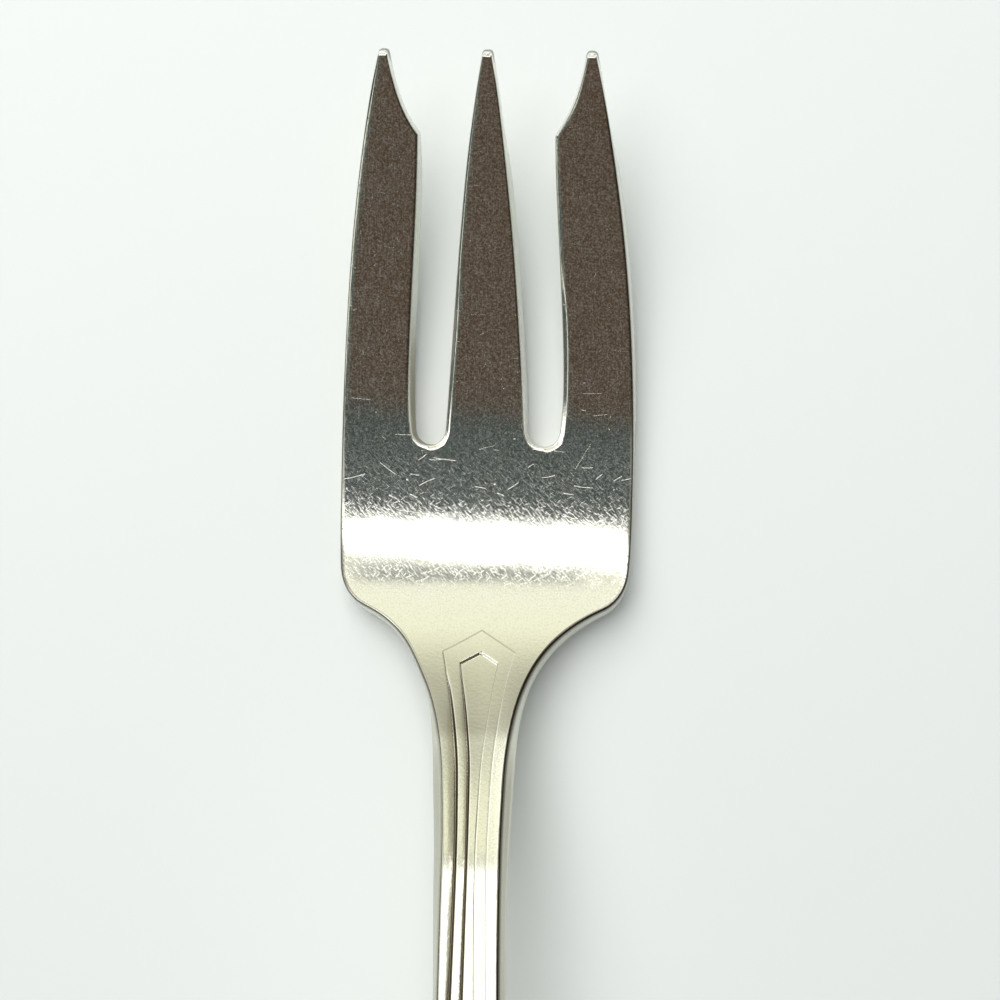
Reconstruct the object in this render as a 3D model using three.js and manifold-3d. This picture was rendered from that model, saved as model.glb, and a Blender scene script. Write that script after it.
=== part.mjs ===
// A small three-tined fork for seafood, fruit or pastry, pressed from one blank of nickel silver and plated.
// Its face is up. Places along it run from the tips of the tines towards the end of the handle.

import * as THREE from 'three';
import { mergeVertices } from 'three/addons/utils/BufferGeometryUtils.js';
import Module from 'manifold-3d';

// Outline of the face, in millimetres: the head ends at its shoulders, the neck at its narrowest place
const faceLength = 144.4;
const headLength = 32.58;
const headWidth = 17.94;
const palmShare = 0.798;
const tipSpread = 12.92;
const shoulderRun = 2.34;
const shoulderTaper = 0.12;
const shoulderCut = 1.5;
const neckLength = 14.42;
const neckWidth = 3.62;
const neckFlare = 0.07;
const neckFlareShare = 0.67;
const handleWidth = 10.8;
const handleEndLength = 11.4;

// Tines and the slots between them
const tipFlat = 0.24;
const tipWidth = 0.62;
const slotDepth = 22.75;
const slotRootRadius = 1.1;
const slotOffset = 3.53;
const slotDraft = 0.1;
const cutLength = 4.75;
const cutOffset = 4.1;
const edgeSoftness = 0.12;
const tipSoftShare = 0.3;

// Handles of the outline's curves, as shares of each curve's run to its end: across, then along
const cornerShares = [[0.6, 0.07], [0.93, 0.4]];
const tineSideShares = [[0.62, 0.3], [1, 0.66]];
const palmSideShares = [[0, 0.4], [0.33, 0.75]];
const shoulderShares = [[0.05, 0.45], [0.42, 0.8]];
const shoulderSlopeShares = [[0.667, 0.178], [0.965, 0.453]];
const neckSideShares = [[1, 0.56], [1, 0.84]];
const handleSideShares = [[0, 0.36], [0.72, 0.7]];
const handleEndShares = [[-0.04, 0.46], [0.32, 0.82]];
const centreFlankShares = [[0.48, 0.28], [0.72, 0.64]];
const outerFlankShares = [[0, 0.434], [0.9, 0.72]];
const tineCutShares = [[0.64, 0.316], [0.84, 0.674]];

// Side line of the face: heights above the table, and the shares of each stretch's run and rise
// that the line passes through
const tipHeight = 7.3;
const tipAngle = THREE.MathUtils.degToRad(24);
const crestRun = 7;
const crestHeight = 8.8;
const tineLineShares = [[0.46, 0.7]];
const neckLineShares = [[0.25, 0.127], [0.48, 0.463], [0.73, 0.842]];
const handleLineShares = [[0.2, 0.12], [0.565, 0.655]];
const groundDepth = 0.03;

// Thickness of the metal
const tipThickness = 0.9;
const palmThickness = 1.65;
const neckThickness = 2.5;
const handleThickness = 2;
const endThickness = 1.8;

// Sides: how far they stand outside the edge of the face, how deep under it they are widest on the stem,
// how far the rounding of the back reaches in, and the share of the face's edge that its middle point cuts
const palmDraft = 0.05;
const neckDraft = 0.45;
const crestDraft = 0.4;
const handleDraft = 0.3;
const stemWidestDepth = 0.6;
const palmTuck = 0.28;
const neckTuck = 1;
const handleTuck = 0.7;
const backTurns = [30, 60, 90].map(THREE.MathUtils.degToRad);
const faceRound = 0.14;
const roundShare = 0.3;

// Coined reeds, the stepped band round the panel's point, and the sunk panel
const bandGap = 1.32;
const panelGap = 1.25;
const pointAngle = THREE.MathUtils.degToRad(31.5);
const headOuterReed = 1.45;
const headInnerReed = 1.02;
const neckBands = 5;
const endReed = 0.95;
const reedRun = 6.5;
const reedCrown = 0.07;
const grooveWidth = 0.22;
const grooveDepth = 0.24;
const bandStep = 0.07;
const bandStepRun = 0.16;
const panelStep = 0.17;
const panelStepRun = 0.24;
const panelRiseGap = 3.85;
const panelRiseRun = 7;
const panelFloorShare = 0.6;
const neckHollow = 0.15;
const handleHollowShare = 0.4;

const overrun = 2;
const leastSquareShare = 0.6;
const plate = { color: 0xc9c6bd, roughness: 0.22, metalness: 1 };

const { lerp, clamp, smoothstep } = THREE.MathUtils;

// Places along the fork that follow from its lengths
const palmPlace = palmShare * headLength;
const neckFlarePlace = headLength + neckFlareShare * neckLength;
const neckPlace = headLength + neckLength;
const crestPlace = neckPlace + crestRun;
const handleWidestPlace = faceLength - handleEndLength;
const bandPoint = headLength + bandGap;
const panelPoint = bandPoint + panelGap;
const panelRisePlace = panelPoint + panelRiseGap;
const neckReed = neckWidth / neckBands;

// A smooth blend through knots, level at each of them: [place, value]
function blend(knots, place) {
  let value = knots[0][1];
  for (let i = 1; i < knots.length; i += 1) {
    const [from, before] = knots[i - 1];
    const [to, after] = knots[i];
    if (place > from) value = lerp(before, after, smoothstep(place, from, to));
  }
  return value;
}

// A curve of continuous curvature through knots, with its first and last slope given
function fairLine(knots, firstSlope, lastSlope) {
  const last = knots.length - 1;
  const slopes = knots.map(() => 0);
  slopes[0] = firstSlope;
  slopes[last] = lastSlope;
  const sweeps = 80;
  const rise = (i) => (knots[i + 1][1] - knots[i][1]) / (knots[i + 1][0] - knots[i][0]);
  for (let sweep = 0; sweep < sweeps; sweep += 1) {
    for (let i = 1; i < last; i += 1) {
      const before = 1 / (knots[i][0] - knots[i - 1][0]);
      const after = 1 / (knots[i + 1][0] - knots[i][0]);
      const pull = 3 * (rise(i - 1) * before + rise(i) * after);
      slopes[i] = (pull - slopes[i - 1] * before - slopes[i + 1] * after) / (2 * (before + after));
    }
  }
  const straight = (i, place) => {
    return { height: knots[i][1] + slopes[i] * (place - knots[i][0]), slope: slopes[i] };
  };
  return (place) => {
    if (place <= knots[0][0]) return straight(0, place);
    if (place >= knots[last][0]) return straight(last, place);
    const i = knots.findIndex((knot, k) => place < knots[k + 1][0]);
    const run = knots[i + 1][0] - knots[i][0];
    const t = (place - knots[i][0]) / run;
    const step = knots[i + 1][1] - knots[i][1];
    const bow = slopes[i] * run - step;
    const counter = step - slopes[i + 1] * run;
    const pull = (1 - t) * bow + t * counter;
    const height = knots[i][1] + t * step + t * (1 - t) * pull;
    const rate = step + (1 - 2 * t) * pull + t * (1 - t) * (counter - bow);
    return { height, slope: rate / run };
  };
}

// Knots strung between two ends, from the shares of their run and rise
function strung(start, end, shares) {
  return shares.map(([run, rise]) => [lerp(start[0], end[0], run), lerp(start[1], end[1], rise)]);
}

const tip = [0, tipHeight];
const palm = [palmPlace, palmThickness - groundDepth];
const crest = [crestPlace, crestHeight];
const end = [faceLength, endThickness - groundDepth];
const sideLine = fairLine([
  tip,
  ...strung(tip, palm, tineLineShares),
  palm,
  ...strung(palm, crest, neckLineShares),
  crest,
  ...strung(crest, end, handleLineShares),
  end,
], -Math.tan(tipAngle), 0);

const handleMiddle = (crestPlace + handleWidestPlace) / 2;
const thicknessKnots = [
  [0, tipThickness],
  [palmPlace, palmThickness],
  [neckPlace, neckThickness],
  [handleMiddle, handleThickness],
  [faceLength, endThickness],
];
const draftKnots = [
  [headLength, palmDraft],
  [neckFlarePlace, neckDraft],
  [crestPlace, crestDraft],
  [handleMiddle, handleDraft],
];
const tuckKnots = [
  [headLength, palmTuck],
  [neckFlarePlace, neckTuck],
  [crestPlace, neckTuck],
  [handleMiddle, handleTuck],
];

// Where metal that lies this deep under the face, at this place along it, comes to be in space
function bent(across, place, depth) {
  const { height, slope } = sideLine(place);
  const upright = 1 / Math.hypot(1, slope);
  return [across, -place - depth * slope * upright, height - depth * upright];
}

// Adds a curve to a flat path, with its handles given as shares of the run to its end
function sweepTo(path, across, place, shares) {
  const { x, y } = path.currentPoint;
  const [first, second] = shares.map(([a, b]) => [lerp(x, across, a), lerp(y, place, b)]);
  path.bezierCurveTo(...first, ...second, across, place);
}

// The face's outline on the +X side: tine, palm, rounded shoulder, neck, handle and the soft point at its end
function faceOutline() {
  const halfHead = headWidth / 2;
  const halfTips = tipSpread / 2;
  const halfNeck = neckWidth / 2;
  const path = new THREE.Path();
  path.moveTo(halfTips - tipFlat, 0);
  sweepTo(path, halfTips, tipFlat, cornerShares);
  sweepTo(path, halfHead, palmPlace, tineSideShares);
  sweepTo(path, halfHead - shoulderTaper, headLength - shoulderRun, palmSideShares);
  sweepTo(path, halfHead - shoulderCut, headLength, shoulderShares);
  sweepTo(path, halfNeck + neckFlare, neckFlarePlace, shoulderSlopeShares);
  sweepTo(path, halfNeck, neckPlace, neckSideShares);
  sweepTo(path, handleWidth / 2, handleWidestPlace, handleSideShares);
  sweepTo(path, 0, faceLength, handleEndShares);
  return path;
}

const outline = faceOutline();

// Where a ray across the face, from its middle line, meets the outline, and how squarely
function edgeOn(middle, angle) {
  const ray = new THREE.Vector2(Math.cos(angle), Math.sin(angle));
  const halvings = 40;
  let before = 0;
  let after = 1;
  for (let halving = 0; halving < halvings; halving += 1) {
    const between = (before + after) / 2;
    const point = outline.getPoint(between);
    const passed = ray.x * (point.y - middle) > ray.y * point.x;
    if (passed) after = between;
    else before = between;
  }
  const tangent = outline.getTangent(before);
  const edge = outline.getPoint(before);
  return {
    ray,
    reach: edge.x * ray.x + (edge.y - middle) * ray.y,
    square: Math.max(ray.x * tangent.y - ray.y * tangent.x, leastSquareShare),
  };
}

// Widths of the outer and the inner reed, square to the edge
function reedWidths(place) {
  const spread = (1 - clamp((place - bandPoint) / reedRun, 0, 1)) ** 2;
  const narrow = lerp(neckReed, endReed, smoothstep(place, neckPlace, handleWidestPlace));
  return [lerp(narrow, headOuterReed, spread), lerp(narrow, headInnerReed, spread)];
}

// How far out along a section's ray the inner and the outer groove lie. Before the band's point, where
// the face is plain, the section keeps the shares that it has at that point.
const atBand = edgeOn(bandPoint, pointAngle);

function grooves(middle, { reach, square }) {
  const plain = middle < bandPoint;
  const [outerReed, innerReed] = reedWidths(Math.max(middle, bandPoint));
  const whole = plain ? atBand.reach : reach;
  const slant = plain ? atBand.square : square;
  const share = reach / whole;
  return [share * (whole - (outerReed + innerReed) / slant), share * (whole - outerReed / slant)];
}

// How deep the dies press each part of the face at a place along it
function relief(place) {
  const band = bandStep * smoothstep(place, bandPoint, bandPoint + bandStepRun);
  const sunk = smoothstep(place, panelPoint, panelPoint + panelStepRun);
  const risen = smoothstep(place, panelRisePlace, panelRisePlace + panelRiseRun);
  const reeding = smoothstep(place, bandPoint, bandPoint + reedRun);
  const panel = band + panelStep * sunk * (1 - risen);
  const inner = grooveDepth - panelFloorShare * panelStep * (1 - risen);
  return {
    band,
    panel,
    crown: reedCrown * reeding,
    hollow: neckHollow * reeding * lerp(1, handleHollowShare, smoothstep(place, neckPlace, handleMiddle)),
    panelCrown: reedCrown * reeding * risen,
    outerFloor: band / 2 + grooveDepth * reeding,
    innerFloor: panel + inner * sunk * reeding,
  };
}

// One half section: points from the middle of the face round the edge to the middle of the back
function halfSection(middle, angle) {
  const edge = edgeOn(middle, angle);
  const { ray, reach, square } = edge;
  const [innerGroove, outerGroove] = grooves(middle, edge);
  const { band, panel, crown, panelCrown, outerFloor, innerFloor, hollow } = relief(middle);
  const half = grooveWidth / 2 / square;
  const tipEase = 2 * edgeSoftness * (1 - smoothstep(middle, -tipFlat, tipFlat));
  const place = (distance) => middle + distance * ray.y;
  const back = (distance) => blend(thicknessKnots, place(distance)) - tipEase;
  const foot = reach + blend(draftKnots, middle) / square;
  const tuck = blend(tuckKnots, middle);
  const stem = smoothstep(middle, headLength, neckFlarePlace);
  const widest = lerp(back(reach) - palmTuck, stemWidestDepth, stem);
  const face = [
    [0, panel],
    [innerGroove / 2, panel + panelCrown / 4],
    [innerGroove - half, panel + panelCrown],
    [innerGroove, innerFloor],
    [innerGroove + half, band + crown],
    [(innerGroove + outerGroove) / 2, band],
    [outerGroove - half, band + crown],
    [outerGroove, outerFloor],
    [outerGroove + half, crown],
    [(outerGroove + reach) / 2, 0],
    [reach - faceRound / square, crown],
    [reach - roundShare * faceRound / square, crown + roundShare * faceRound],
    [reach, crown + faceRound],
  ].map(([distance, depth]) => {
    return [distance, Math.max(depth + hollow * (1 - (distance / reach) ** 2), tipEase)];
  });
  const under = [
    [foot, widest],
    ...backTurns.map((turn) => [
      foot - (tuck / square) * (1 - Math.cos(turn)),
      lerp(widest, back(reach), Math.sin(turn)),
    ]),
    [foot / 2, back(foot / 2)],
    [0, back(0)],
  ];
  return [...face, ...under].map(([distance, depth]) => bent(distance * ray.x, place(distance), depth));
}

// The rays on which the sections stand: straight across the head, slanted at the pointed panel,
// straight again down the handle and fanned round its end. Each span is [from, to, sections].
function sectionRays() {
  const shoulderTop = headLength - 2 * shoulderRun;
  const spans = [
    [0, tipFlat, 3],
    [tipFlat, palmPlace, 18],
    [palmPlace, shoulderTop, 3],
    [shoulderTop, shoulderTop + shoulderRun, 7],
    [shoulderTop + shoulderRun, bandPoint, 6],
    [bandPoint, bandPoint + bandStepRun, 2],
    [bandPoint + bandStepRun, panelPoint, 2],
    [panelPoint, panelPoint + panelStepRun, 2],
    [panelPoint + panelStepRun, neckPlace, 14],
    [neckPlace, crestPlace, 4],
    [crestPlace, handleWidestPlace, 20],
  ];
  const fan = 14;
  const rays = [];
  for (const [from, to, count] of spans) {
    for (let i = 0; i < count; i += 1) {
      const middle = lerp(from, to, i / count);
      const slanted = smoothstep(middle, palmPlace - shoulderRun, bandPoint);
      const straightened = smoothstep(middle, panelPoint + panelStepRun, neckPlace);
      rays.push([middle, pointAngle * slanted * (1 - straightened)]);
    }
  }
  for (let i = 0; i <= fan; i += 1) {
    rays.push([handleWidestPlace, (Math.PI / 2) * (i / fan)]);
  }
  return rays;
}

// A closed geometry from rings of equally many points and the triangles that cap them
function skinned(rings, cap) {
  const positions = rings.flat(2);
  const size = rings[0].length;
  const index = [];
  for (let ring = 1; ring < rings.length; ring += 1) {
    for (let i = 0; i < size; i += 1) {
      const next = (i + 1) % size;
      const [a, b] = [(ring - 1) * size + i, (ring - 1) * size + next];
      const [c, d] = [ring * size + i, ring * size + next];
      index.push(a, b, c, b, d, c);
    }
  }
  index.push(...cap.flat());
  const geometry = new THREE.BufferGeometry();
  geometry.setAttribute('position', new THREE.Float32BufferAttribute(positions, 3));
  geometry.setIndex(index);
  return geometry;
}

// The blank before its slots are cut
function blankGeometry() {
  const rings = sectionRays().map(([middle, angle]) => {
    const half = halfSection(middle, angle);
    const mirrored = half.slice(1, -1).reverse().map(([x, y, z]) => [-x, y, z]);
    return [...half, ...mirrored].reverse();
  });
  const tipPlane = rings[0].map(([x, , z]) => new THREE.Vector2(x, z));
  const cap = THREE.ShapeUtils.triangulateShape(tipPlane, []);
  return skinned(rings, cap.map((corners) => corners.reverse()));
}

// Outline of the slot on the +X side, from the centre tine's tip round the root to the outer tine's tip
function slotOutline() {
  const halfTips = tipSpread / 2;
  const rootPlace = slotDepth - slotRootRadius;
  const outerTip = halfTips - tipWidth;
  const outerFlat = halfTips - (tipWidth + tipFlat) / 2;
  const path = new THREE.Path();
  path.moveTo(tipFlat / 2, -overrun);
  path.lineTo(tipFlat / 2, 0);
  sweepTo(path, tipWidth / 2, tipFlat, cornerShares);
  sweepTo(path, slotOffset - slotRootRadius, rootPlace, centreFlankShares);
  path.absarc(slotOffset, rootPlace, slotRootRadius, Math.PI, 0, true);
  sweepTo(path, cutOffset, cutLength, outerFlankShares);
  sweepTo(path, outerTip, tipFlat, tineCutShares);
  sweepTo(path, outerFlat, 0, cornerShares.map(([a, b]) => [1 - b, 1 - a]).reverse());
  path.lineTo(outerFlat, -overrun);
  const steps = 12;
  return path.getPoints(steps).filter((point, i, all) => i === 0 || point.distanceTo(all[i - 1]) > 0);
}

// The slot as a solid, bent like the blank, narrower at the back by the punch's draft, and flared at the
// face and the back to soften the edges
function slotGeometry(side) {
  const points = slotOutline();
  const last = points.length - 1;
  const normals = points.map((point, i) => {
    const run = points[Math.min(i + 1, last)].clone().sub(points[Math.max(i - 1, 0)]).normalize();
    return new THREE.Vector2(-run.y, run.x);
  });
  const levels = [
    (thickness) => [thickness + overrun, 2 * edgeSoftness - slotDraft],
    (thickness) => [thickness + edgeSoftness, 2 * edgeSoftness - slotDraft],
    (thickness) => [thickness - edgeSoftness, -slotDraft],
    () => [edgeSoftness, 0],
    () => [-edgeSoftness, 2 * edgeSoftness],
    () => [-overrun, 2 * edgeSoftness],
  ];
  const rings = levels.map((level) => points.map((point, i) => {
    const [depth, flare] = level(blend(thicknessKnots, point.y));
    const softness = lerp(tipSoftShare, 1, smoothstep(point.y, 0, cutLength));
    const moved = point.clone().addScaledVector(normals[i], flare * softness);
    return bent(side * moved.x, moved.y, depth);
  }));
  const foot = THREE.ShapeUtils.triangulateShape(points, []);
  const top = (levels.length - 1) * points.length;
  const lid = foot.map(([first, second, third]) => [top + third, top + second, top + first]);
  const geometry = skinned(rings, [...foot, ...lid]);
  if (side < 0) geometry.setIndex([...geometry.index.array].reverse());
  return geometry;
}

const wasm = await Module();
wasm.setup();

// The same geometry as a solid that can be cut
function solidOf(geometry) {
  const bare = geometry.clone();
  bare.deleteAttribute('normal');
  bare.deleteAttribute('uv');
  const merged = mergeVertices(bare);
  const index = [...merged.index.array];
  const kept = [];
  for (let i = 0; i < index.length; i += 3) {
    const [a, b, c] = index.slice(i, i + 3);
    if (a !== b && b !== c && c !== a) kept.push(a, b, c);
  }
  const vertProperties = new Float32Array(merged.attributes.position.array);
  return new wasm.Manifold(new wasm.Mesh({ numProp: 3, vertProperties, triVerts: new Uint32Array(kept) }));
}

function geometryOf(solid) {
  const { vertProperties, triVerts } = solid.getMesh();
  const geometry = new THREE.BufferGeometry();
  geometry.setAttribute('position', new THREE.BufferAttribute(vertProperties, 3));
  geometry.setIndex(new THREE.BufferAttribute(triVerts, 1));
  return geometry;
}

// The fork: blank, two slots, and the small flats that its palm and handle stand on
function forkGeometry() {
  const table = new THREE.BoxGeometry(2 * headWidth, 2 * faceLength, overrun);
  table.translate(0, -faceLength / 2, -overrun / 2);
  const solid = solidOf(blankGeometry())
    .subtract(solidOf(slotGeometry(1)))
    .subtract(solidOf(slotGeometry(-1)))
    .subtract(solidOf(table));
  const geometry = geometryOf(solid);
  geometry.computeBoundingBox();
  const { min, max } = geometry.boundingBox;
  geometry.translate(0, -(min.y + max.y) / 2, -min.z);
  geometry.computeVertexNormals();
  return geometry;
}

const fork = new THREE.Mesh(forkGeometry(), new THREE.MeshStandardMaterial(plate));
fork.name = 'fork';

const group = new THREE.Group();
group.add(fork);

export default group;
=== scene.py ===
# A small three-tined fork of plated nickel silver, lying face up on a pale sheet.

from math import cos, pi, radians, sin, tan

import bmesh
import bpy
import numpy as np
from mathutils import Matrix, Vector
from mathutils.kdtree import KDTree


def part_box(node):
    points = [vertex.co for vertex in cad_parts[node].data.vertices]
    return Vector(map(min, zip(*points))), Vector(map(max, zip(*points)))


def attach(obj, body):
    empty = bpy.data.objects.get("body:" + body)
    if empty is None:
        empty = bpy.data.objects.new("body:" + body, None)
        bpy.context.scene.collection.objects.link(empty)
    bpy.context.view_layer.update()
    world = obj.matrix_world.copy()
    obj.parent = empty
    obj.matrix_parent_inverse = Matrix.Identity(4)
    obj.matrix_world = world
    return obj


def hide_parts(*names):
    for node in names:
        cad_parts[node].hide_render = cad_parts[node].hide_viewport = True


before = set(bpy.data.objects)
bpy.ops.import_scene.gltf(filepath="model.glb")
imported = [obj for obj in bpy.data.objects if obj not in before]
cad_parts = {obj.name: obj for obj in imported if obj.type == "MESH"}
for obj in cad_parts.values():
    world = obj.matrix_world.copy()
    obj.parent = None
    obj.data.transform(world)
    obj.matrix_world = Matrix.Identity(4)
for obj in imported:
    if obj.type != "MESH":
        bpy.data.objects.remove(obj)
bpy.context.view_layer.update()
mm = 0.001

# The fork. It is one pressing: a flat blank of nickel silver with two slots, coined and bent between dies,
# then silver-plated. The blank is laid out flat here, with its edges and its reeds marked on it, and the
# press below gives it its thickness, its rounded edges, its coined relief and its bend.

# Outline of the face. Places run along the fork from the tips of the tines to the end of the handle.
face_length = 144.4 * mm
head_length = 32.58 * mm
half_head = 9.01 * mm
palm_place = 26 * mm
half_tips = 6.46 * mm
shoulder_run = 2.34 * mm
shoulder_taper = 0.12 * mm
shoulder_cut = 1.5 * mm
neck_flare_place = 42.24 * mm
neck_flare = 0.07 * mm
neck_place = 47 * mm
half_neck = 1.81 * mm
half_handle = 5.4 * mm
handle_widest_place = 133 * mm
tip_flat = 0.24 * mm
tip_width = 0.62 * mm
slot_depth = 22.75 * mm
slot_root_radius = 1.1 * mm
slot_offset = 3.53 * mm
cut_length = 4.42 * mm
cut_offset = 4.1 * mm

# Handles of the outline's curves, as shares of each curve's run: across, then along
corner_shares = [(0.6, 0.07), (0.93, 0.4)]
tine_side_shares = [(0.54, 0.21), (1.04, 0.52)]
palm_side_shares = [(0, 0.4), (0.33, 0.75)]
shoulder_shares = [(0.05, 0.45), (0.42, 0.8)]
shoulder_slope_shares = [(0.667, 0.178), (0.965, 0.453)]
neck_side_shares = [(1, 0.56), (1, 0.84)]
handle_side_shares = [(0, 0.36), (0.72, 0.7)]
handle_end_shares = [(-0.04, 0.46), (0.32, 0.82)]
centre_flank_shares = [(0.56, 0.28), (0.76, 0.64)]
outer_flank_shares = [(0.1, 0.28), (1.9, 0.8)]
tine_cut_shares = [(0.16, 0.326), (0.36, 0.684)]
curve_steps = 240


def swept(start, *runs):
    """Points along a line of swept curves, each run given as its end and its two handles."""
    line = [np.array([start])]
    t = np.linspace(0, 1, curve_steps + 1)[1:, None]
    for end, shares in runs:
        a, d = line[-1][-1], np.array(end)
        b, c = (a + (d - a) * np.array(share) for share in shares)
        line.append((1 - t) ** 3 * a + 3 * (1 - t) ** 2 * t * b + 3 * (1 - t) * t**2 * c + t**3 * d)
    return np.concatenate(line)


def spaced(line, shares):
    """Points at these shares of a line's length."""
    run = np.concatenate([[0], np.cumsum(np.hypot(*np.diff(line, axis=0).T))])
    return np.stack([np.interp(np.array(shares) * run[-1], run, line[:, i]) for i in (0, 1)], axis=1)


def at_places(line, places):
    """Points of a line that runs down the fork, at these places."""
    return np.stack([np.interp(places, line[:, 1], line[:, 0]), places], axis=1)


def smooth(value, start, end):
    t = np.clip((value - start) / (end - start), 0, 1)
    return t * t * (3 - 2 * t)


root_place = slot_depth - slot_root_radius
outer_side = swept(
    (half_tips - tip_flat, 0),
    ((half_tips, tip_flat), corner_shares),
    ((half_head, palm_place), tine_side_shares),
    ((half_head - shoulder_taper, head_length - shoulder_run), palm_side_shares),
    ((half_head - shoulder_cut, head_length), shoulder_shares),
    ((half_neck + neck_flare, neck_flare_place), shoulder_slope_shares),
    ((half_neck, neck_place), neck_side_shares),
    ((half_handle, handle_widest_place), handle_side_shares),
    ((0, face_length), handle_end_shares),
)
centre_side = swept(
    (tip_flat / 2, 0),
    ((tip_width / 2, tip_flat), corner_shares),
    ((slot_offset - slot_root_radius, root_place), centre_flank_shares),
)
inner_tip = half_tips - tip_width
inner_side = swept(
    (inner_tip + (tip_width - tip_flat) / 2, 0),
    ((inner_tip, tip_flat), corner_shares),
    ((cut_offset, cut_length), tine_cut_shares),
    ((slot_offset + slot_root_radius, root_place), outer_flank_shares),
)
corner_middle = curve_steps // 2
corner_place = outer_side[corner_middle, 1]
tip_lean = 0.32 * mm
tip_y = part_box("fork")[1].y - tip_lean

# Coined relief: the pointed band, the sunk panel inside it, and the reeds that run down both sides
band_point = 33.9 * mm
panel_point = 35.15 * mm
point_angle = radians(31.5)
reed_run = 6.5 * mm
head_reeds = (1.45 * mm, 0.92 * mm)
neck_reeds = (0.88 * mm, 0.68 * mm)
stem_reed = 0.745 * mm
stem_place = neck_place + 11 * mm
end_reed = 0.95 * mm
groove_half = 0.085 * mm
band_run = 0.2 * mm
panel_run = 0.26 * mm
edge_round = 0.08 * mm

# How finely the blank is laid out: columns across each half, rays round the slot's root and the
# handle's end, and runs of rows as (from, to, how many)
tine_columns = 16
panel_columns, reed_columns = 12, 14
half_columns = panel_columns + 2 * reed_columns
palm_rays, end_rays = 12, 44
palm_end = 25 * mm
row_runs = [
    (palm_end, band_point, 46),
    (band_point, band_point + band_run, 6),
    (band_point + band_run, panel_point, 9),
    (panel_point, panel_point + panel_run, 8),
    (panel_point + panel_run, neck_place, 60),
    (neck_place, neck_place + 7 * mm, 24),
    (neck_place + 7 * mm, handle_widest_place, 130),
]
back_edge_rows = 24
tine_rows, tine_row_growth = 100, 1.25
cut_clearance, cut_row_gap = 0.1 * mm, 0.07 * mm
tip_fade_rows = 14
least_square = 0.6

# Rings of the rim: 0 to 1 over the face's rounding, 1 to 2 down the wall, 2 to 3 round the back's edge
levels = np.concatenate([np.linspace(0, 1, 6), np.linspace(1, 2, 4)[1:], np.linspace(2, 3, 8)[1:]])


def edge_on(middle, angle):
    """Where a ray across the face, from its middle line, meets the outline, and how squarely."""
    ray = np.array([cos(angle), sin(angle)])
    side = ray[0] * (outer_side[:, 1] - middle) - ray[1] * outer_side[:, 0]
    i = max(int(np.argmax(side > -1e-12)), 1)  # a point on the ray itself counts as past it
    a, b = outer_side[i - 1], outer_side[i]
    along = (b - a) / np.hypot(*(b - a))
    point = a + (b - a) * side[i - 1] / (side[i - 1] - side[i])
    return point, ray, max(ray[0] * along[1] - ray[1] * along[0], least_square)


def reed_lines(middle, reach, square):
    """How far out along a section's ray the inner and the outer groove lie."""
    place = max(middle, band_point)
    spread = (1 - min((place - band_point) / reed_run, 1)) ** 2
    even_reed = stem_reed + (end_reed - stem_reed) * smooth(place, neck_place, handle_widest_place)
    at_neck = 1 - smooth(place, neck_place, stem_place)
    narrow = (even_reed + (reed - even_reed) * at_neck for reed in neck_reeds)
    outer, inner = (low + (wide - low) * spread for wide, low in zip(head_reeds, narrow))
    whole, slant = (band_reach, band_square) if middle < band_point else (reach, square)
    return [reach / whole * (whole - gap / slant) for gap in (outer + inner, outer)]


band_edge, _, band_square = edge_on(band_point, point_angle)
band_reach = np.hypot(*(band_edge - (0, band_point)))

# The outline's points in order, from the middle of the centre tine's tip, round the slot and the outer
# tine, and down to the end of the handle. The slot's root is laid out on rays from its own centre.
even = np.linspace(0, 1, tine_columns + 1)
rows_at = corner_place + (root_place - corner_place) * np.linspace(0, 1, tine_rows) ** tine_row_growth
clear = abs(rows_at - cut_length) > cut_clearance
rows_at = np.sort([*rows_at[clear], cut_length - cut_row_gap, cut_length, cut_length + cut_row_gap])
palm_rows = np.linspace(root_place, palm_end, palm_rays + 1)
palm_edge = at_places(outer_side, palm_rows)
box = np.concatenate([
    np.stack([0 * palm_rows, palm_rows], axis=1),
    np.linspace((0, palm_end), palm_edge[-1], half_columns + 1)[1:],
    palm_edge[-2::-1],
])
root_centre = np.array([slot_offset, root_place])
around = np.arctan2(*(box - root_centre)[:, ::-1].T)
root = root_centre + slot_root_radius * np.stack([np.cos(around), np.sin(around)], axis=1)

turned = [
    (m, point_angle * smooth(m, palm_end, band_point) * (1 - smooth(m, panel_point + panel_run, neck_place)))
    for start, end, rows in row_runs
    for m in np.linspace(start, end, rows, endpoint=False)
]
sections = turned + [(handle_widest_place, pi / 2 * i / end_rays) for i in range(end_rays + 1)]
met = [edge_on(m, angle) for m, angle in sections]

outer_tip = np.concatenate([inner_side[corner_middle::-1], outer_side[:corner_middle + 1]])
stretches = {
    "centre_tip": spaced(np.concatenate([[(0, 0)], centre_side[:corner_middle + 1]]), even),
    "centre_flank": at_places(centre_side, rows_at[1:]),
    "root": root[1:-1],
    "inner_flank": at_places(inner_side, rows_at[:0:-1]),
    "outer_tip": spaced(outer_tip, even),
    "outer_flank": at_places(outer_side, rows_at[1:]),
    "palm_edge": palm_edge[1:],
    "reeded_edge": np.array([point for point, _, _ in met[1:]]),
}
stations = np.concatenate(list(stretches.values()))
starts = dict(zip(stretches, np.cumsum([0] + [len(part) for part in stretches.values()])))
along = np.diff(stations, axis=0)
along /= np.hypot(*along.T)[:, None]
normals = np.stack([along[:, 1], -along[:, 0]], axis=1)
before = np.vstack([normals[0] * (-1, 1), normals])
after = np.vstack([normals, normals[-1] * (-1, 1)])
out = (before + after) / (1 + (before * after).sum(axis=1))[:, None]
reeded = starts["reeded_edge"]
out[reeded:] = [ray / square for _, ray, square in met[1:]]
on_edge = smooth(np.arange(len(stations)), starts["outer_flank"], starts["outer_flank"] + back_edge_rows)
inset = stations - out * edge_round
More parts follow.
